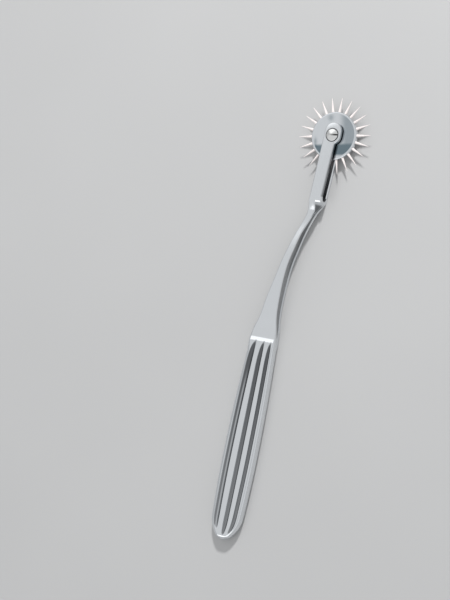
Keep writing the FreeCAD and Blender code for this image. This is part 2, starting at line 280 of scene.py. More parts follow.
# Neck: it turns from flat to on edge while it swings over to the fork's line. Its line, width, front
# and back are smooth curves through shares of its length, of the grip's offset, and of its sizes.
NECK_WAIST_WIDTH = 2.55
NECK_BELLY_DEPTH = 6.2
NECK_CORNER = 0.45
RIDGE_BLEND_SHARE = 0.14
NECK_LENGTH_SHARES = (0.0, 0.022, 0.07, 0.14, 0.27, 0.42, 0.55, 0.66, 0.78, 0.88, 0.93, 0.97, 1.0)
NECK_OFFSET_SHARES = (1.0, 0.995, 0.975, 0.93, 0.875, 0.77, 0.67, 0.535, 0.36, 0.165, 0.08, 0.025, 0.0)
NECK_WIDTH_SHARES = (4.71, 4.58, 4.16, 3.25, 2.43, 1.65, 1.29, 1.14, 1.0, 1.1, 1.3, 1.73, 2.118)
NECK_FRONT_SHARES = (0.6645, 0.667, 0.69, 0.79, 0.9, 0.995, 1.0, 0.975, 0.9, 0.855, 0.885, 0.96, 1.016)
NECK_BACK_SHARES = (0.0, 0.003, 0.009, 0.013, 0.013, 0.0105, 0.009, 0.0175, 0.07, 0.19, 0.175, 0.07, 0.0)
HEEL_CUT_SHARES = (0.0, 0.0, 0.0, 0.0, 0.0, 0.0, 0.0, 0.0, 0.0, 0.0, 0.42, 0.7, 1.0)
HEEL_BEVEL_LENGTH = 7.5
HEEL_STEP_DROP = 0.45
HEEL_STEP_RUN = 0.75
NECK_ROWS = 150
HEEL_ROWS = 64
BLOCK_ROWS = 10


def tine_line(x):
    """Offset of the tines' centre line: it leans from the axle to the slot's end."""
    return TINE_OFFSET - TINE_LEAN * x / FORK_REACH


def smooth_through(places, values, at):
    """Natural cubic spline through the values: its second slopes solve one linear system, and each span
    is the cubic that its two ends and their second slopes give."""
    places, values = np.array(places), np.array(values)
    gap, rise = np.diff(places), np.diff(values)
    count = len(places)
    system, right = np.eye(count), np.zeros(count)
    for index in range(1, count - 1):
        system[index, index - 1:index + 2] = gap[index - 1], 2 * (gap[index - 1] + gap[index]), gap[index]
        right[index] = 6 * (rise[index] / gap[index] - rise[index - 1] / gap[index - 1])
    bend = np.linalg.solve(system, right)
    span = np.clip(np.searchsorted(places, at, side="right") - 1, 0, count - 2)
    width = gap[span]
    far, near = (at - places[span]) / width, (places[span + 1] - at) / width
    curve = ((far ** 3 - far) * bend[span + 1] + (near ** 3 - near) * bend[span]) * width ** 2 / 6
    return near * values[span] + far * values[span + 1] + curve


def neck_rows():
    """Sections of the neck from the ridge to the fork's block, closer at the ridge's lip and the heel."""
    lip_end = (RIDGE_RUN - RIDGE_SETBACK) / NECK_LENGTH
    heel_start = 1 - HEEL_BEVEL_LENGTH / NECK_LENGTH
    share = np.unique(np.concatenate([np.linspace(0, lip_end, RIDGE_ROWS)[1:],
                                      np.linspace(0, 1, NECK_ROWS)[1:],
                                      np.linspace(heel_start, 1, HEEL_ROWS)]))
    x = ridge_x + share * NECK_LENGTH
    end_y = tine_line(block_x)
    offset = end_y + (GRIP_OFFSET - end_y) * smooth_through(NECK_LENGTH_SHARES, NECK_OFFSET_SHARES, share)
    width = NECK_WAIST_WIDTH * smooth_through(NECK_LENGTH_SHARES, NECK_WIDTH_SHARES, share)
    front = NECK_BELLY_DEPTH * smooth_through(NECK_LENGTH_SHARES, NECK_FRONT_SHARES, share)
    back = NECK_BELLY_DEPTH * smooth_through(NECK_LENGTH_SHARES, NECK_BACK_SHARES, share)
    corner = RIDGE_CORNER + (NECK_CORNER - RIDGE_CORNER) * eased(share / RIDGE_BLEND_SHARE)
    cut = np.interp(share, NECK_LENGTH_SHARES, HEEL_CUT_SHARES)
    front = front + RIDGE_STEP - ridge_fall(x)
    return [x, offset, width / 2, np.maximum(back, 0), front, corner, cut, np.full_like(x, fork_depth)]


def block_rows():
    """Sections of the fork's block from the heel's step to the slot, alike but for the step's slope."""
    x = np.concatenate([[block_x], np.linspace(block_x + HEEL_STEP_RUN, slot_x, BLOCK_ROWS)])
    level = np.ones_like(x)
    return [x, tine_line(x), level * TINE_WIDTH / 2, level * 0.0, level * fork_depth, level * FORK_CORNER,
            level, np.where(x > block_x, 0.0, HEEL_STEP_DROP)]


# Flutes: three ground hollows, each given by its lane as a share of the grip's width, its radius, and
# how much earlier than the middle one it ends at the butt. They run out pointed at the ridge.
FLUTES = ((0.29, 1.6, 2.4), (-0.045, 1.15, 0.0), (-0.32, 0.95, 0.8))
FLUTE_DEPTH = 0.8
FLUTE_START = 0.9
FLUTE_END = 1.6
FLUTE_RISE = 11.0
FLUTE_FALL = 7.0
FLUTE_LEAN_FADE = 3.0
FLUTE_LEAST_SHARE = 0.02
FLUTE_ROOM = 1.2
RIB_COLUMNS = 11
FLUTE_COLUMNS = 10


def flute_depth(x, setback):
    """Depth of a flute: a long pointed rise at the ridge and a shorter fall at the butt, both sines."""
    rise = np.clip((ridge_x - FLUTE_START - x) / FLUTE_RISE, 0, 1)
    fall = np.clip((x - butt_x - FLUTE_END - setback) / FLUTE_FALL, 0, 1)
    return FLUTE_DEPTH * np.sin(rise * np.pi / 2) * np.sin(fall * np.pi / 2)


def flute_at(x, half, lane, radius, setback):
    """Centre line, half width and depth of a flute. The half width is the chord of a circle that dips into
    the face. At the ridge the flute's right edge runs straight on and its left edge sweeps over to it."""
    depth = flute_depth(x, setback)
    chord = np.sqrt(np.maximum(radius ** 2 - (radius - depth) ** 2, 0))
    full = np.sqrt(radius ** 2 - (radius - FLUTE_DEPTH) ** 2)
    at_ridge = (1 - eased((x - ridge_x) / FLUTE_LEAN_FADE)) * (x > belly_x)
    return lane * 2 * half - (full - chord) * at_ridge, chord, depth


def face_columns(x, half, corner):
    """Offsets of a face's columns from the centre line, a row for each section. They reach to the middle
    of the corners' arcs, and close up on the flutes' edges, or side by side where a flute has run out."""
    reach = half - corner * (1 - np.sqrt(0.5))
    knots = [reach]
    for flute in FLUTES:
        middle, chord, depth = flute_at(x, half, *flute)
        chord = np.maximum(chord, FLUTE_LEAST_SHARE * half)
        middle = np.clip(middle, FLUTE_ROOM * chord - reach, reach - FLUTE_ROOM * chord)
        knots += [middle + chord, middle - chord]
    knots.append(-reach)
    columns = []
    for index, (start, end) in enumerate(zip(knots, knots[1:])):
        steps = FLUTE_COLUMNS if index % 2 else RIB_COLUMNS
        columns.append(start + (end - start) * np.arange(steps) / steps)
    return np.concatenate(columns + [knots[-1]], axis=1)


def corner_fall(aside, half, corner):
    """Depth of the rounded corner below the crown, at a place across the face."""
    over = np.clip(np.abs(aside) - (half - corner), 0, corner)
    return corner - np.sqrt(corner ** 2 - over ** 2)


def face_drop(x, aside, half, corner):
    """How far a face lies below its crown: the corner's arc near the sides, or a flute's circle where
    that is lower."""
    drop = corner_fall(aside, half, corner)
    for flute in FLUTES:
        radius = flute[1]
        middle, chord, depth = flute_at(x, half, *flute)
        inside = radius ** 2 - (aside - middle) ** 2
        circle = depth - radius + np.sqrt(np.maximum(inside, 0))
        drop = np.maximum(drop, np.where((inside > 0) & (depth > 0), circle, 0))
    return drop


# Heel: the front right corner is cut away where the neck meets the block, as a steep satin facet painted
# dark as shade that ends at a small square step, and a gentle bevel leads up to it.
HEEL_CUT_WIDTH = 2.9
HEEL_CUT_DEPTH = 3.85
HEEL_CUT_ROUND = 0.12
HEEL_CUT_ONSET = 0.1
HEEL_BEVEL_WIDTH = 3.2
HEEL_BEVEL_SLOPE = 0.35
HEEL_BEVEL_FADE = 4.0
FACET_SATIN_AND_SHADE_DEPTH = 0.15
FACET_SHADE_LIFT_END = 0.5
FACET_SHADE_LIFT_FADE = 1.1


def heel_cut(x, aside, height, half, front, cut, reach_down):
    """Heights under the heel's two cuts, and how dull they are, which also paints them darker as shade: the
    bevel, which turns the neck's face to the right, and the facet. Each is a plane that falls from its line
    on the face to the right edge, met with a small round by a soft minimum. The facet's painted shade and
    satin are lifted again just before the step."""
    from_right = half + aside
    onset = eased((x - block_x + HEEL_BEVEL_LENGTH) / HEEL_BEVEL_FADE)
    bevel = front - HEEL_BEVEL_SLOPE * (onset * HEEL_BEVEL_WIDTH - from_right)
    facet = front - HEEL_CUT_DEPTH / HEEL_CUT_WIDTH * (cut * HEEL_CUT_WIDTH - from_right)
    lower = height
    for plane, share in ((bevel, onset), (facet, np.clip(cut / HEEL_CUT_ONSET, 0, 1))):
        gap = np.abs(lower - plane)
        cut_height = np.minimum(lower, plane) - HEEL_CUT_ROUND / 2 * np.exp(-gap / HEEL_CUT_ROUND)
        lower = lower + (cut_height - lower) * share
    # Painted shade on the facet, lifted just before the step.
    dull = np.clip((np.minimum(height, bevel) - facet) / FACET_SATIN_AND_SHADE_DEPTH, 0, 1)
    dull = dull * eased((block_x - FACET_SHADE_LIFT_END - x) / FACET_SHADE_LIFT_FADE)
    dull = np.where((cut > 0) & (reach_down > HEEL_STEP_DROP), dull, 0)
    return np.where(onset > 0, np.maximum(lower, height - reach_down), height), dull


# Sides: the neck's are ground slightly hollow, with a narrow flange along the back, and left satin and
# painted darker as shade. The web behind the slot ends in a half round.
SIDE_HOLLOW = 0.4
SIDE_FLARE = 0.6
SIDE_CREASE_SHARE = 0.98
SIDE_START = 5.0
BLOCK_BLEND = 3.0
CORNER_COLUMNS = 6
SIDE_COLUMNS = 18
CAP_COLUMNS = 9
INNER_EDGE = 0.1


def side_columns(half, back, front, corner, on_neck, on_block):
    """Offsets and heights of the points down a side: half of the front corner's arc, the wall, and half
    of the back corner's. The wall leans in to its hollow and flares out from a crease near its foot. On
    the block its points are spaced as the slot's half round is, by a cosine."""
    turn = np.linspace(np.pi / 4, 0, CORNER_COLUMNS + 1)[1:]
    corner_out = half - corner * (1 - np.cos(turn))
    corner_drop = corner * (1 - np.sin(turn))
    top, low = front - corner, back + corner
    crease = 1 - SIDE_FLARE / np.maximum(top - low, 2 * SIDE_FLARE)
    hollow_wall = crease * np.append(np.linspace(0, SIDE_CREASE_SHARE, SIDE_COLUMNS)[1:], 1.0)
    round_wall = -np.cos(np.linspace(0, np.pi, SIDE_COLUMNS)) / 2
    slot_wall = 0.5 + round_wall * slot_radius * 2 / (top - low)
    wall = hollow_wall + (slot_wall - hollow_wall) * on_block
    wall_out = half - SIDE_HOLLOW * on_neck * wall / crease
    out = np.concatenate([corner_out, wall_out, corner_out[:, ::-1]], axis=1)
    height = np.concatenate([front - corner_drop, top + (low - top) * wall,
                             (back + corner_drop)[:, ::-1]], axis=1)
    return out, height


def end_cap(section, face_count, side_count):
    """Face that closes an end: straight lines from the section's right side across to its left side."""
    right = section[face_count - 1:face_count + side_count + 1]
    left = np.concatenate([section[:1], section[::-1][:side_count + 1]])
    share = np.linspace(0, 1, CAP_COLUMNS)[None, :, None]
    return right[:, None, :] * (1 - share) + left[:, None, :] * share


# Finish: the flutes are satin and darkened as painted shade, with a painted highlight line down the left
# one, and the painted shade eases off towards the butt. The neck's sides and the heel's facet are satin and
# painted dark as shade too, and all else is polished.
SATIN_AND_SHADE_DEPTH = 0.14
FLUTE_SHADE_BUTT_FADE = 0.22
FLUTE_PAINTED_HIGHLIGHT = 0.6
FLUTE_LINE_PLACE = 0.1
FLUTE_LINE_WIDTH = 0.3
FLUTE_LINE_START = 12.0
FLUTE_LINE_RISE = 12.0
NECK_SIDE_SATIN_AND_SHADE = 0.69
FACET_SATIN_AND_SHADE = 0.92


def flute_satin_and_shade(x, aside, drop, half, corner):
    """How dull a face is, which also paints it darker as shade: fully where a flute lies under the face by
    SATIN_AND_SHADE_DEPTH, less by a bell curve along the left flute's line, a painted highlight, and less
    towards the butt."""
    dull = np.clip((drop - corner_fall(aside, half, corner)) / SATIN_AND_SHADE_DEPTH, 0, 1)
    from_line = aside - flute_at(x, half, *FLUTES[0])[0] - FLUTE_LINE_PLACE
    # Painted highlight: a lighter line down the left flute.
    line_depth = FLUTE_PAINTED_HIGHLIGHT * eased((ridge_x - FLUTE_LINE_START - x) / FLUTE_LINE_RISE)
    dull = dull * (1 - line_depth * np.exp(-(from_line / FLUTE_LINE_WIDTH) ** 2))
    # The painted shade eases off towards the butt.
    return dull * (1 - FLUTE_SHADE_BUTT_FADE * eased((ridge_x - x) / (ridge_x - butt_x)))


def handle_body():
    """Closed skin of the grip, the neck and the web, and its two end caps, each with how dull and painted
    dark it is. A section runs across the front, down the right side, back across the back and up the left
    side."""
    rows = [np.concatenate(parts)[:, None] for parts in zip(grip_rows(), neck_rows(), block_rows())]
    x, middle, half, back, front, corner, cut, reach_down = rows
    on_block = eased((x - block_x) / BLOCK_BLEND + 1)
    on_neck = eased((x - ridge_x) / SIDE_START) * (1 - on_block)
    aside = face_columns(x, half, corner)
    drop = face_drop(x, aside, half, corner)
    side_y, side_z = side_columns(half, back, front, corner, on_neck, on_block)
    face_z, facet = heel_cut(x, aside, front - drop, half, front, cut, reach_down)
    right_z = heel_cut(x, -side_y, side_z, half, front, cut, reach_down)[0]
    y = np.concatenate([aside, -side_y, aside[:, ::-1], side_y[:, ::-1]], axis=1) + middle
    z = np.concatenate([face_z, right_z, (back + drop)[:, ::-1], side_z[:, ::-1]], axis=1)
    slot_hollow = np.sqrt(np.maximum(slot_radius ** 2 - (z - wheel_height) ** 2, 0))
    in_web = np.clip((x - block_x) / (slot_x - block_x), 0, 1)
    skin = np.stack([x - slot_hollow * in_web, y, z], axis=-1)
    flutes = flute_satin_and_shade(x, aside, drop, half, corner)
    # Painted shade: the neck's side walls are made satin and dark.
    side = np.zeros_like(side_z)
    side[:, CORNER_COLUMNS:-CORNER_COLUMNS - 1] = NECK_SIDE_SATIN_AND_SHADE * on_neck
    satin_and_shade = np.concatenate([np.maximum(flutes, FACET_SATIN_AND_SHADE * facet), side, flutes[:, ::-1], side[:, ::-1]],
                           axis=1)
    butt_cap, slot_cap = (end_cap(end, aside.shape[1], side_y.shape[1]) for end in (skin[0], skin[-1]))
    # Painted shade: the slot's half round is made satin and dark.
    in_slot = np.abs(slot_cap[..., 2] - wheel_height) < slot_radius - INNER_EDGE
    return [(skin, satin_and_shade, {"close_columns": True}), (butt_cap, 0.0, {}), (slot_cap, in_slot * 1.0, {})]


# Tines: the slot parts the bar into two straight tines, each widening into an oval eye. The front eye
# is counterbored for the screw's head, and the rear one is tapped for its end. Their inner faces, the
# counterbore's floor and the front tine's right wall are satin and painted dark as shade, and on the eyes'
# edges the painted shade is lifted and the polish is brighter.
EYE_RADIUS = 3.7
EYE_OFFSET = -0.25
EYE_NOSE = 1.7
EYE_TAIL = 0.3
EYE_SHADE_LIFT = 0.9
EYE_SHADE_LIFT_START = 5.18
FRONT_WALL_SATIN_AND_SHADE = 0.8
RIGHT_CORNER_SHARE = 2.2
REAR_INNER_EDGE = 0.35
HEAD_RADIUS = 2.6
HEAD_SINK = 0.5
HEAD_CLEARANCE = 0.25
HEAD_ASIDE = -0.2
JOURNAL_RADIUS = 1.25
THREAD_RADIUS = 1.0
RUNNING_CLEARANCE = 0.05
LEFT_EDGE_POINTS = 60
NOSE_POINTS = 49
TAIL_POINTS = 19
RIGHT_EDGE_POINTS = 50
WEB_POINTS = 16
EDGE_RINGS = 7

bore = JOURNAL_RADIUS + RUNNING_CLEARANCE


def tine_outline(inset, right_share=1.0):
    """Closed outline of a tine in plan, drawn in by the inset: the left edge, the eye's two arcs and the
    step between them, the right edge, and the line where the tine leaves the web. The right edge is drawn
    in by the right share of the inset."""
    radius = EYE_RADIUS - inset
    start = np.array([slot_x, tine_line(slot_x) + TINE_WIDTH / 2 - inset])
    flush = np.array([EYE_NOSE, EYE_OFFSET + radius])
    left_edge = start + (flush - start) * np.linspace(0, 1, LEFT_EDGE_POINTS)[:-1, None]
    turn = np.linspace(np.pi / 2, -np.pi / 2, NOSE_POINTS)[:, None]
    nose = np.concatenate([EYE_NOSE + radius * np.cos(turn), EYE_OFFSET + radius * np.sin(turn)], axis=1)
    right_inset = inset * right_share
    right_y = tine_line(-EYE_RADIUS) - TINE_WIDTH / 2 + right_inset
    meet = np.arcsin(np.clip((right_y - EYE_OFFSET) / radius, -1, 1))
    turn = np.linspace(-np.pi / 2, -np.pi - meet, TAIL_POINTS)[:, None]
    tail = np.concatenate([radius * np.cos(turn) - EYE_TAIL, EYE_OFFSET + radius * np.sin(turn)], axis=1)
    end = np.array([slot_x, tine_line(slot_x) - TINE_WIDTH / 2 + right_inset])
    right_edge = tail[-1] + (end - tail[-1]) * np.linspace(0, 1, RIGHT_EDGE_POINTS)[1:, None]
    web_line = end + (start - end) * np.linspace(0, 1, WEB_POINTS)[1:-1, None]
    return np.concatenate([left_edge, nose, tail, right_edge, web_line])


def ring_at(radius, aside=0.0):
    """Circle round the axle, or a little aside of it, with a point for each point of the outline, in the
    same directions."""
    outline = tine_outline(0.0)
    return outline / np.linalg.norm(outline, axis=1, keepdims=True) * radius + [0, aside]


def tine(outer, inner, hole, inner_edge, wall_satin_and_shade, right_share=1.0, seat_radius=0.0, seat_depth=0.0):
    """Closed skin of a tine, and how dull it is, which also paints it darker as shade: rings that start at
    the hole, cross the outer face with its counterbore, go round the edge and come back across the inner
    face. Each ring is an outline, a height and its dullness. Outer and inner are the faces' heights."""
    out = np.sign(outer - inner)
    if seat_radius:
        seat = outer - out * seat_depth
        face_rings = [(ring_at(hole), seat, 1), (ring_at(seat_radius, HEAD_ASIDE), seat, 1),
                      (ring_at(seat_radius, HEAD_ASIDE), outer - out * INNER_EDGE, 1),
                      (ring_at(seat_radius + INNER_EDGE, HEAD_ASIDE), outer, 0)]
    else:
        face_rings = [(ring_at(hole), outer, 0)]
    edge_rings = []
    for turn in np.linspace(0, np.pi / 2, EDGE_RINGS):
        inset, sink = FORK_CORNER * (1 - np.sin(turn)), FORK_CORNER * (1 - np.cos(turn))
        edge_rings.append((tine_outline(inset, right_share), outer - out * sink,
                           wall_satin_and_shade * turn * 2 / np.pi))
    edge_rings += [(tine_outline(0.0), inner + out * inner_edge, wall_satin_and_shade),
                   (tine_outline(inner_edge), inner, wall_satin_and_shade),
                   (tine_outline(inner_edge + INNER_EDGE), inner, 1), (ring_at(hole), inner, 1)]
    rings = face_rings + edge_rings
    skin = np.stack([np.column_stack([plan, np.full(len(plan), height)]) for plan, height, dull in rings])
    satin_and_shade = np.array([dull for plan, height, dull in rings])[:, None]
    on_edge = (np.arange(len(rings)) >= len(face_rings))[:, None]
    # On the eyes' edges the painted shade is lifted and the polish is brighter.
    on_eye = eased((skin[..., 0] + EYE_SHADE_LIFT_START) / EYE_RADIUS) * on_edge
    return skin, satin_and_shade * (1 - EYE_SHADE_LIFT * on_eye), {"close_rows": True, "close_columns": True}


front_tine = tine(outer=fork_depth, inner=fork_depth - TINE_THICKNESS, hole=bore, inner_edge=INNER_EDGE,
                  wall_satin_and_shade=FRONT_WALL_SATIN_AND_SHADE, right_share=RIGHT_CORNER_SHARE,
                  seat_radius=HEAD_RADIUS + HEAD_CLEARANCE, seat_depth=HEAD_SINK)
rear_tine = tine(outer=0.0, inner=TINE_THICKNESS, hole=THREAD_RADIUS, inner_edge=REAR_INNER_EDGE,
                 wall_satin_and_shade=0.0)

# Handle's steel and mesh: bright plate over fine marks drawn along the handle, rougher where it is satin
# and darker there as painted shade.
# Points closer than the merge distance become one, and edges beyond the crease angle stay sharp.
HANDLE_COLOUR = (0.80, 0.82, 0.84, 1.0)
HANDLE_ROUGHNESS = (0.13, 0.2)
HANDLE_MARKS = (150.0, 4000.0, 4000.0)
HANDLE_PAINTED_SHADE_COLOUR = (0.15, 0.155, 0.162, 1.0)
HANDLE_SATIN_ROUGHNESS = 0.3
MERGE_DISTANCE = 0.002
CREASE_ANGLE = 32.0


def polished_steel(name, colour, roughness, marks_scale, painted_shade_colour, satin_roughness):
    """Plated and polished steel: fine marks in the bump and a faint cloud in the gloss. The satin finish
    of its hollows is rougher, and darker as painted shade, and the points' satin_and_shade attribute mixes
    it in."""
    material, nodes, link, shader = new_material(name)
    place_in = nodes.new("ShaderNodeTexCoord")
    drawn_out = nodes.new("ShaderNodeMapping")
    drawn_out.inputs["Scale"].default_value = marks_scale
    marks = nodes.new("ShaderNodeTexNoise")
    marks.inputs["Scale"].default_value = 1.0
    marks.inputs["Detail"].default_value = 4.0
    patch = nodes.new("ShaderNodeTexNoise")
    patch.inputs["Scale"].default_value = 220.0
    gloss = nodes.new("ShaderNodeMapRange")
    gloss.inputs["To Min"].default_value = roughness[0]
    gloss.inputs["To Max"].default_value = roughness[1]
    bump = nodes.new("ShaderNodeBump")
    bump.inputs["Strength"].default_value = 0.04
    bump.inputs["Distance"].default_value = 0.02 * MM
    satin_and_shade = nodes.new("ShaderNodeAttribute")
    satin_and_shade.attribute_name = "satin_and_shade"
    # The tone mixes in the painted shade colour where the satin_and_shade attribute is set.
    tone = nodes.new("ShaderNodeMixRGB")
    tone.inputs["Color1"].default_value = colour
    tone.inputs["Color2"].default_value = painted_shade_colour
    dull = nodes.new("ShaderNodeMix")
    dull.inputs["B"].default_value = satin_roughness
    link(place_in.outputs["Object"], drawn_out.inputs["Vector"])
    link(drawn_out.outputs["Vector"], marks.inputs["Vector"])
    link(place_in.outputs["Object"], patch.inputs["Vector"])
    link(patch.outputs["Fac"], gloss.inputs["Value"])
    link(marks.outputs["Fac"], bump.inputs["Height"])
    link(bump.outputs["Normal"], shader.inputs["Normal"])
    link(satin_and_shade.outputs["Fac"], tone.inputs["Fac"])
    link(satin_and_shade.outputs["Fac"], dull.inputs["Factor"])
    link(gloss.outputs["Result"], dull.inputs["A"])
    link(tone.outputs["Color"], shader.inputs["Base Color"])
    link(dull.outputs["Result"], shader.inputs["Roughness"])
    shader.inputs["Metallic"].default_value = 1.0
    return material


def grid_faces(rows, columns, first=0, close_rows=False, close_columns=False):
    """Quads of a grid whose points are numbered row by row from first, joined up where a way is closed."""
    row = np.arange(rows if close_rows else rows - 1)[:, None]
    column = np.arange(columns if close_columns else columns - 1)[None, :]
    next_row, next_column = (row + 1) % rows, (column + 1) % columns
    corners = [row * columns + column, row * columns + next_column,
               next_row * columns + next_column, next_row * columns + column]
    return np.stack([corner + first for corner in corners], axis=-1).reshape(-1, 4)


def join_grids(grids):
    """One list each of points, quads and dullness, which also sets painted shade. Each grid is given as its
    points, rows by columns by three, how dull and painted dark they are, and the ways that close."""
    points, faces, satin_and_shade, first = [], [], [], 0
    for grid, dull, ways in grids:
        rows, columns = grid.shape[:2]
        points.append(grid.reshape(-1, 3))
        faces.append(grid_faces(rows, columns, first, **ways))
        satin_and_shade.append(np.broadcast_to(dull, (rows, columns)).ravel())
        first += rows * columns
    return np.concatenate(points), np.concatenate(faces), np.concatenate(satin_and_shade)


def piece_mesh(name, points, faces, satin_and_shade=None):
    """Mesh at its place from the axle: doubles merged, faces outwards, and sharp edges kept.
    Satin_and_shade is how dull and painted dark each point is, from 0 for polished to 1, and is kept as an
    attribute."""
    mesh = bpy.data.meshes.new(name)
    mesh.from_pydata(((points + axle) * MM).tolist(), [], faces.tolist())
    if satin_and_shade is not None:
        mesh.attributes.new("satin_and_shade", "FLOAT", "POINT").data.foreach_set("value", satin_and_shade)
    shell = bmesh.new()
    shell.from_mesh(mesh)
    bmesh.ops.remove_doubles(shell, verts=shell.verts, dist=MERGE_DISTANCE * MM)
    bmesh.ops.recalc_face_normals(shell, faces=shell.faces)
    shell.to_mesh(mesh)
    shell.free()
    mesh.shade_smooth()
    mesh.set_sharp_from_angle(angle=np.radians(CREASE_ANGLE))
    return mesh


def set_piece(name, mesh, material):
    """Piece put in the scene at the origin, with its material."""
    mesh.materials.append(material)
    piece = bpy.data.objects.new(name, mesh)
    bpy.context.scene.collection.objects.link(piece)
    return piece


handle_steel = polished_steel("polished_steel", HANDLE_COLOUR, HANDLE_ROUGHNESS, HANDLE_MARKS,
                              HANDLE_PAINTED_SHADE_COLOUR, HANDLE_SATIN_ROUGHNESS)
handle_mesh = piece_mesh("polished_handle", *join_grids(handle_body() + [front_tine, rear_tine]))
handle = set_piece("polished_handle", handle_mesh, handle_steel)
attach(handle, "handle")
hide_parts("handle")

# Pivot screw: a domed cheese head with a driver's slot, sunk in the front eye, on a plain journal that
# carries the wheel. Its threaded end is screwed into the rear eye. It is turned steel, polished.
HEAD_RIM = 0.7
HEAD_DOME = 0.3
HEAD_EDGE = 0.2
DRIVER_SLOT_WIDTH = 0.7
DRIVER_SLOT_DEPTH = 0.5
DRIVER_SLOT_TURN = np.radians(6.0)
SLOT_SHADE_LIFT = 0.75
SLOT_SHADE_LIFT_START_SHARE = 0.5
SCREW_END_SINK = 0.1
HEAD_LINES = 22
SLOT_LINES = 5
HEAD_COLUMNS = 41
SHANK_SIDES = 48
SCREW_COLOUR = (0.83, 0.83, 0.82, 1.0)
SCREW_ROUGHNESS = (0.12, 0.2)
SCREW_MARKS = (900.0, 900.0, 900.0)
# Painted shade colour of the driver's slot.
SCREW_PAINTED_SHADE_COLOUR = (0.1, 0.1, 0.1, 1.0)
SCREW_SATIN_ROUGHNESS = 0.35

seat_z = fork_depth - HEAD_SINK
crown_z = seat_z + HEAD_RIM + HEAD_DOME


def place_head(a, b, z):
    """Points of the head from lines across and along the slot, turned to the slot's direction."""
    cosine, sine = np.cos(DRIVER_SLOT_TURN), np.sin(DRIVER_SLOT_TURN)
    return np.stack([a * cosine - b * sine, a * sine + b * cosine + HEAD_ASIDE, z], axis=-1)


def screw_head():
    """Head as lines square to the driver's slot: the dome falls with the square of the distance from the
    middle and rounds off at the rim, and the slot is a flat floor between two upright walls, dull and
    painted dark as shade at one end. The second grid is the rim's wall and the head's underside."""
    half_slot = DRIVER_SLOT_WIDTH / 2
    outer = half_slot + (HEAD_RADIUS - half_slot) * np.sin(np.linspace(0, np.pi / 2, HEAD_LINES))
    inner = np.linspace(-half_slot, half_slot, SLOT_LINES)
    line = np.concatenate([-outer[::-1], inner, outer])[:, None]
    in_slot = np.repeat([False, True, False], [HEAD_LINES, SLOT_LINES, HEAD_LINES])[:, None]
    chord = np.sqrt(np.maximum(HEAD_RADIUS ** 2 - line ** 2, 0))
    a = np.repeat(line, HEAD_COLUMNS, axis=1)
    b = chord * np.sin(np.linspace(-np.pi / 2, np.pi / 2, HEAD_COLUMNS))
    away = np.sqrt(a ** 2 + b ** 2)
    over = np.clip(away - (HEAD_RADIUS - HEAD_EDGE), 0, HEAD_EDGE)
    dome = crown_z - HEAD_DOME * (away / HEAD_RADIUS) ** 2 - HEAD_EDGE + np.sqrt(HEAD_EDGE ** 2 - over ** 2)
    top = np.where(in_slot, crown_z - DRIVER_SLOT_DEPTH, dome)
    # Painted shade in the driver's slot, lighter towards one end.
    dull = in_slot * (1 - SLOT_SHADE_LIFT * eased(b / HEAD_RADIUS + SLOT_SHADE_LIFT_START_SHARE))
    rim_a, rim_b, rim_top = (np.concatenate([grid[:, 0], grid[::-1, -1]]) for grid in (a, b, top))
    seat = np.full_like(rim_a, seat_z)
    wall = np.stack([place_head(rim_a, rim_b, rim_top), place_head(rim_a, rim_b, seat),
                     place_head(rim_a * 0.0, rim_b * 0.0, seat)])
    return [(place_head(a, b, top), dull, {}), (wall, 0.0, {"close_columns": True})]


def turned(profile, sides):
    """Solid of revolution round the axle: a profile of (radius, height) carried round a circle."""
    radius, height = np.array(profile).T[:, :, None]
    height = np.repeat(height, sides, axis=1)
    turn = np.linspace(0, 2 * np.pi, sides, endpoint=False)[None, :]
    return np.stack([radius * np.cos(turn), radius * np.sin(turn), height], axis=-1)


shank = turned([(0.0, seat_z), (JOURNAL_RADIUS, seat_z), (JOURNAL_RADIUS, TINE_THICKNESS),
                (THREAD_RADIUS, TINE_THICKNESS), (THREAD_RADIUS, SCREW_END_SINK + INNER_EDGE),
                (THREAD_RADIUS - INNER_EDGE, SCREW_END_SINK), (0.0, SCREW_END_SINK)], SHANK_SIDES)
screw_steel = polished_steel("screw_steel", SCREW_COLOUR, SCREW_ROUGHNESS, SCREW_MARKS,
                             SCREW_PAINTED_SHADE_COLOUR, SCREW_SATIN_ROUGHNESS)
screw_grids = screw_head() + [(shank, 0.0, {"close_columns": True})]
screw_mesh = piece_mesh("pivot_screw_polished", *join_grids(screw_grids))
screw = set_piece("pivot_screw_polished", screw_mesh, screw_steel)
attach(screw, "handle")
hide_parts("pivot_screw")

# Wheel disc: a turned and mirror-polished steel disc with a hub boss on each face, which keeps it in the
# middle of the slot. Its rim is rounded over, and the pins are pressed into holes round it.
DISC_RADIUS = 10.2
DISC_THICKNESS = 2.0
DISC_EDGE = 0.4
HUB_RADIUS = 3.0
SIDE_CLEARANCE = 0.1
DISC_SIDES = 192
RIM_RINGS = 9
FRONT_RINGS = 50
BACK_RINGS = 12
DISC_COLOUR = (0.80, 0.825, 0.85, 1.0)
DISC_ROUGHNESS = (0.05, 0.1)
DISC_MARKS = (400.0, 400.0, 400.0)
# Painted reflections: the disc's darker patches take this colour and roughness.
DISC_PAINTED_REFLECTION_COLOUR = (0.09, 0.155, 0.19, 1.0)
DISC_REFLECTION_ROUGHNESS = 0.14


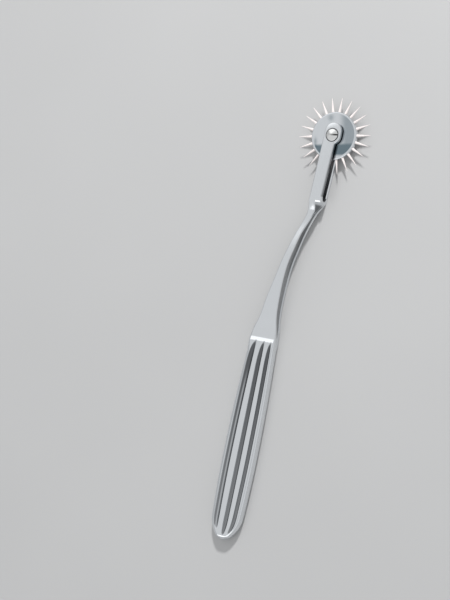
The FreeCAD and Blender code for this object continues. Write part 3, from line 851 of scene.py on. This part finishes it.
def disc_profile():
    """Closed outline of half the disc's section: out across the front from the bore, round the rim by two
    quarter arcs, and in across the back. Heights are taken from the disc's middle plane."""
    half_disc = DISC_THICKNESS / 2
    half_hub = slot_radius - SIDE_CLEARANCE
    edge = DISC_RADIUS - DISC_EDGE
    turn = np.linspace(np.pi / 2, 0, RIM_RINGS)
    rim = edge + DISC_EDGE * np.cos(turn)
    rim_height = half_disc - DISC_EDGE + DISC_EDGE * np.sin(turn)
    front = np.linspace(HUB_RADIUS, edge, FRONT_RINGS)[1:-1]
    back = np.linspace(edge, HUB_RADIUS, BACK_RINGS)[1:-1]
    radius = np.concatenate([[bore, HUB_RADIUS, HUB_RADIUS], front, rim,
                             rim[::-1], back, [HUB_RADIUS, HUB_RADIUS, bore]])
    height = np.concatenate([[half_hub, half_hub, half_disc], np.full_like(front, half_disc), rim_height,
                             -rim_height[::-1], np.full_like(back, -half_disc),
                             [-half_disc, -half_hub, -half_hub]])
    return np.stack([radius, wheel_height + height], axis=1)


# Painted reflections of the fork and the surroundings on the disc, in shares of its radius, laid out as the
# camera sees the wheel at rest: a darker part on the right, a band across below, and two soft spots, each
# by its middle, its size and its depth.
REFLECTION_START_SHARE = 0.12
REFLECTION_RUN_SHARE = 0.35
REFLECTION_DEPTH = 0.52
BAND_START_SHARE = 0.27
BAND_END_SHARE = 0.86
BAND_EDGE_SHARE = 0.14
BAND_DEPTH = 0.85
REFLECTION_SPOTS = (((-0.15, -0.77), (0.11, 0.14), 0.42), ((-0.78, 0.2), (0.07, 0.16), 0.45))
REFLECTION_END = 9.2
REFLECTION_END_FADE = 0.3


def painted_disc_reflections(points):
    """How dark the painted reflections make the polish: the right part eases in, the band eases in and out
    and covers it, and each spot is a bell curve. The rim of the face stays clear."""
    plan = points - [0, 0, wheel_height]
    right, down = plan @ picture_right / DISC_RADIUS, -plan @ picture_up / DISC_RADIUS
    patch = REFLECTION_DEPTH * eased((right - REFLECTION_START_SHARE) / REFLECTION_RUN_SHARE)
    band = eased((down - BAND_START_SHARE) / BAND_EDGE_SHARE)
    band = band * eased((BAND_END_SHARE - down) / BAND_EDGE_SHARE)
    patch = patch + (BAND_DEPTH - patch) * band
    for middle, size, depth in REFLECTION_SPOTS:
        away = ((right - middle[0]) / size[0]) ** 2 + ((down - middle[1]) / size[1]) ** 2
        patch = patch + depth * np.exp(-away)
    radius = np.hypot(points[..., 0], points[..., 1])
    return np.clip(patch, 0, 1) * (1 - eased((radius - REFLECTION_END) / REFLECTION_END_FADE))


disc_skin = turned(disc_profile(), DISC_SIDES)
disc_grid = (disc_skin, painted_disc_reflections(disc_skin), {"close_rows": True, "close_columns": True})
disc_steel = polished_steel("disc_steel", DISC_COLOUR, DISC_ROUGHNESS, DISC_MARKS,
                            DISC_PAINTED_REFLECTION_COLOUR, DISC_REFLECTION_ROUGHNESS)
disc_mesh = piece_mesh("wheel_disc_polished", *join_grids([disc_grid]))
disc = set_piece("wheel_disc_polished", disc_mesh, disc_steel)
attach(disc, "wheel")
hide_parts("wheel_disc")

# Pins: 22 hard steel needles with a plain shank pressed into the disc and a long conical point, left
# with a finer, paler finish than the plated pieces.
PIN_COUNT = 22
PIN_RADIUS = 0.6
PIN_SEAT = 3.0
PIN_POINT_RADIUS = 0.06
TIP_RADIUS = 16.3
PIN_SIDES = 24
POINT_RINGS = 8


def pin_skin(angle):
    """Round bar along a radius of the wheel: a ring of points at each station, shrinking to the point."""
    share = np.linspace(0, 1, POINT_RINGS)[1:]
    seat = DISC_RADIUS - PIN_SEAT
    distance = np.concatenate([[seat, seat, DISC_RADIUS],
                               DISC_RADIUS + (TIP_RADIUS - DISC_RADIUS) * share, [TIP_RADIUS]])[:, None]
    radius = np.concatenate([[0.0, PIN_RADIUS, PIN_RADIUS],
                             PIN_RADIUS + (PIN_POINT_RADIUS - PIN_RADIUS) * share, [0.0]])[:, None]
    turn = np.linspace(0, 2 * np.pi, PIN_SIDES, endpoint=False)[None, :]
    aside = radius * np.cos(turn)
    height = wheel_height + radius * np.sin(turn)
    return np.stack([distance * np.cos(angle) - aside * np.sin(angle),
                     distance * np.sin(angle) + aside * np.cos(angle), height], axis=-1)


def needle_finish():
    """Pale satin steel with a breath of warmth and a faint turned grain."""
    material, nodes, link, shader = new_material("pin_steel")
    place_in = nodes.new("ShaderNodeTexCoord")
    grain = nodes.new("ShaderNodeTexNoise")
    grain.inputs["Scale"].default_value = 1500.0
    gloss = nodes.new("ShaderNodeMapRange")
    gloss.inputs["To Min"].default_value = 0.38
    gloss.inputs["To Max"].default_value = 0.5
    link(place_in.outputs["Object"], grain.inputs["Vector"])
    link(grain.outputs["Fac"], gloss.inputs["Value"])
    link(gloss.outputs["Result"], shader.inputs["Roughness"])
    shader.inputs["Base Color"].default_value = (0.94, 0.87, 0.85, 1.0)
    shader.inputs["Metallic"].default_value = 0.25
    return material


needle_steel = needle_finish()
for number in range(PIN_COUNT):
    needle_grid = (pin_skin(2 * np.pi * number / PIN_COUNT), 0.0, {"close_columns": True})
    needle_name = "needle_%02d" % (number + 1)
    needle_mesh = piece_mesh(needle_name, *join_grids([needle_grid])[:2])
    needle = set_piece(needle_name, needle_mesh, needle_steel)
    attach(needle, "wheel")
    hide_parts("pin_%02d" % (number + 1))
